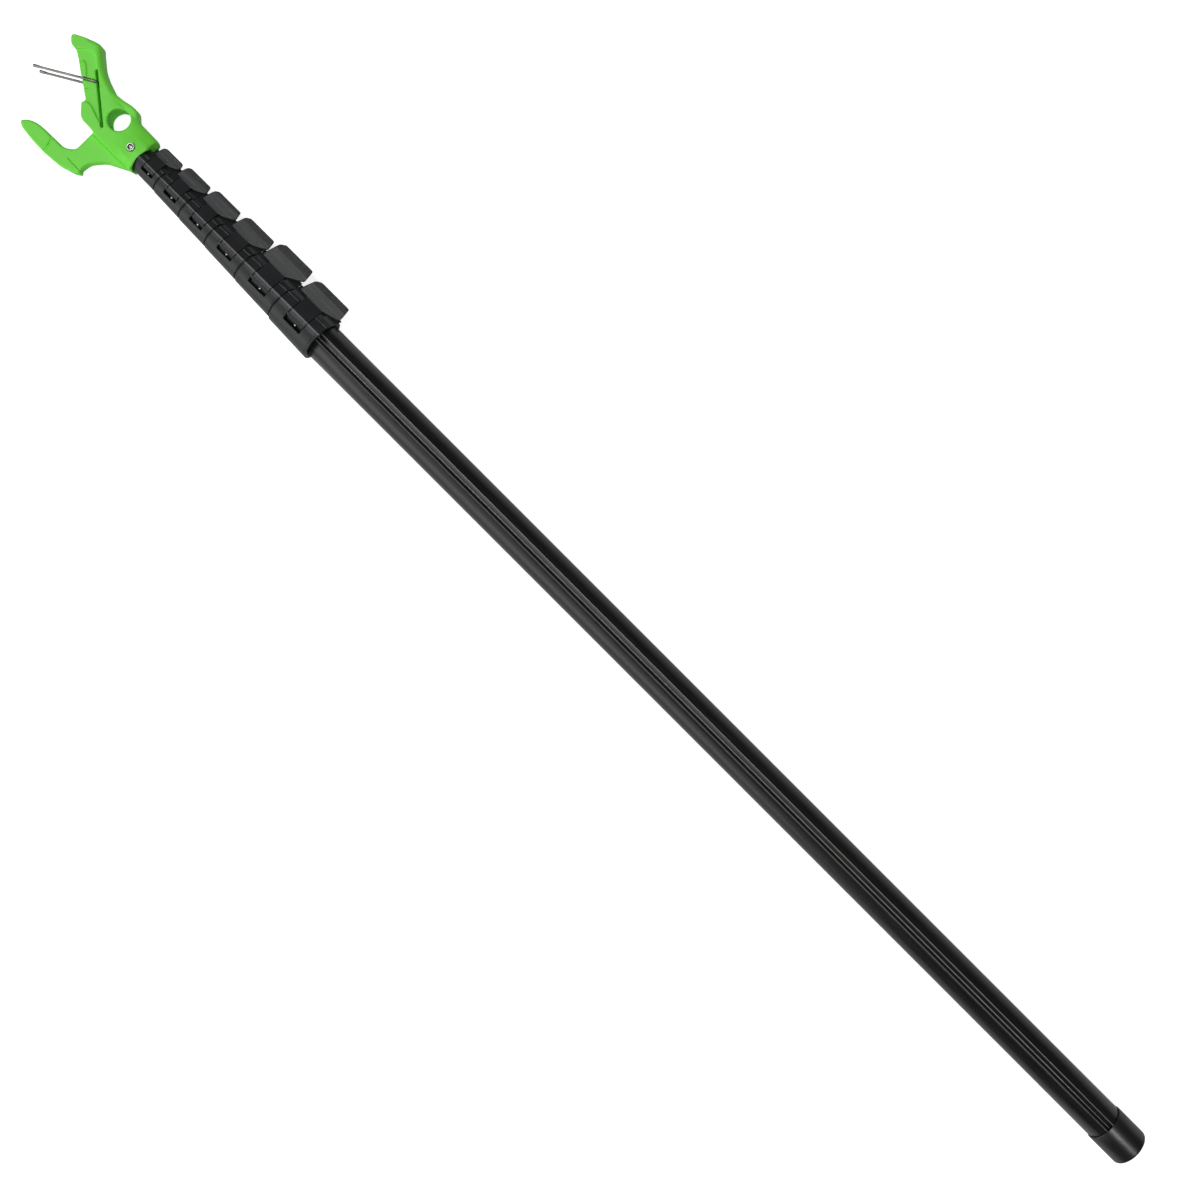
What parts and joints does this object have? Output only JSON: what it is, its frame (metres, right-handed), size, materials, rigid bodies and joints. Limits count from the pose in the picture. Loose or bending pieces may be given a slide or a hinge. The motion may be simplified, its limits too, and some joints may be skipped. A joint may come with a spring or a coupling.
{
  "type": "telescopic reach pole with hook and clip head",
  "caption": "Telescopic aluminium reach pole of nested grooved tubes with cam-lever collars, an end cap and a moulded head with hook, eye and spring-wire hairpin.",
  "frame": {"origin": "centre of the end cap's flat end face, on the pole's axis", "axes": "+X along the pole from butt to head, +Y to the hook side, +Z the side that the grooves, levers and head's face look towards"},
  "size_m": [1.0926, 0.0822, 0.0345],
  "materials": {
    "tube": "black anodised, satin",
    "collar": "fine texture",
    "lever": "fine texture, ribbed at the tip",
    "steel": "bright",
    "shoe": "black phosphate, bright stud",
    "plug": "plain",
    "cap": "semi-gloss",
    "head": "bright green, semi-gloss"
  },
  "bodies": {
    "section_1": {"tube_1": "tube", "end_cap": "cap", "collar_1": "collar", "lever_pin_1": "steel", "brake_shoe_1": "shoe"},
    "section_2": {"tube_2": "tube", "tube_plug_2": "plug", "collar_2": "collar", "lever_pin_2": "steel", "brake_shoe_2": "shoe"},
    "section_3": {"tube_3": "tube", "tube_plug_3": "plug", "collar_3": "collar", "lever_pin_3": "steel", "brake_shoe_3": "shoe"},
    "section_4": {"tube_4": "tube", "tube_plug_4": "plug", "collar_4": "collar", "lever_pin_4": "steel", "brake_shoe_4": "shoe"},
    "section_5": {"tube_5": "tube", "tube_plug_5": "plug", "collar_5": "collar", "lever_pin_5": "steel", "brake_shoe_5": "shoe"},
    "section_6": {"tube_6": "tube", "tube_plug_6": "plug", "collar_6": "collar", "lever_pin_6": "steel", "brake_shoe_6": "shoe"},
    "section_7": {"tube_7": "tube", "tube_plug_7": "plug", "head_body": "head", "head_screw": "steel", "wire_hairpin": "steel"},
    "lever_1": {"lever_1": "lever"},
    "lever_2": {"lever_2": "lever"},
    "lever_3": {"lever_3": "lever"},
    "lever_4": {"lever_4": "lever"},
    "lever_5": {"lever_5": "lever"},
    "lever_6": {"lever_6": "lever"}
  },
  "joints": [
    {"name": "section_2_slide", "type": "slide", "parent": "section_1", "child": "section_2", "axis": [1, 0, 0], "range_m": [0, 0.7]},
    {"name": "section_3_slide", "type": "slide", "parent": "section_2", "child": "section_3", "axis": [1, 0, 0], "range_m": [0, 0.7]},
    {"name": "section_4_slide", "type": "slide", "parent": "section_3", "child": "section_4", "axis": [1, 0, 0], "range_m": [0, 0.7]},
    {"name": "section_5_slide", "type": "slide", "parent": "section_4", "child": "section_5", "axis": [1, 0, 0], "range_m": [0, 0.7]},
    {"name": "section_6_slide", "type": "slide", "parent": "section_5", "child": "section_6", "axis": [1, 0, 0], "range_m": [0, 0.7]},
    {"name": "section_7_slide", "type": "slide", "parent": "section_6", "child": "section_7", "axis": [1, 0, 0], "range_m": [0, 0.7]},
    {"name": "lever_1_hinge", "type": "hinge", "parent": "section_1", "child": "lever_1", "pos_m": [0.8307, 0.00321, 0.01465], "axis": [-1, 0, 0], "range_deg": [0, 100]},
    {"name": "lever_2_hinge", "type": "hinge", "parent": "section_2", "child": "lever_2", "pos_m": [0.86785, 0.00294, 0.01279], "axis": [-1, 0, 0], "range_deg": [0, 100]},
    {"name": "lever_3_hinge", "type": "hinge", "parent": "section_3", "child": "lever_3", "pos_m": [0.9018, 0.00251, 0.01132], "axis": [-1, 0, 0], "range_deg": [0, 100]},
    {"name": "lever_4_hinge", "type": "hinge", "parent": "section_4", "child": "lever_4", "pos_m": [0.9312, 0.00203, 0.01], "axis": [-1, 0, 0], "range_deg": [0, 100]},
    {"name": "lever_5_hinge", "type": "hinge", "parent": "section_5", "child": "lever_5", "pos_m": [0.9578, 0.00153, 0.00874], "axis": [-1, 0, 0], "range_deg": [0, 100]},
    {"name": "lever_6_hinge", "type": "hinge", "parent": "section_6", "child": "lever_6", "pos_m": [0.98085, 0.001, 0.00753], "axis": [-1, 0, 0], "range_deg": [0, 100]}
  ]
}
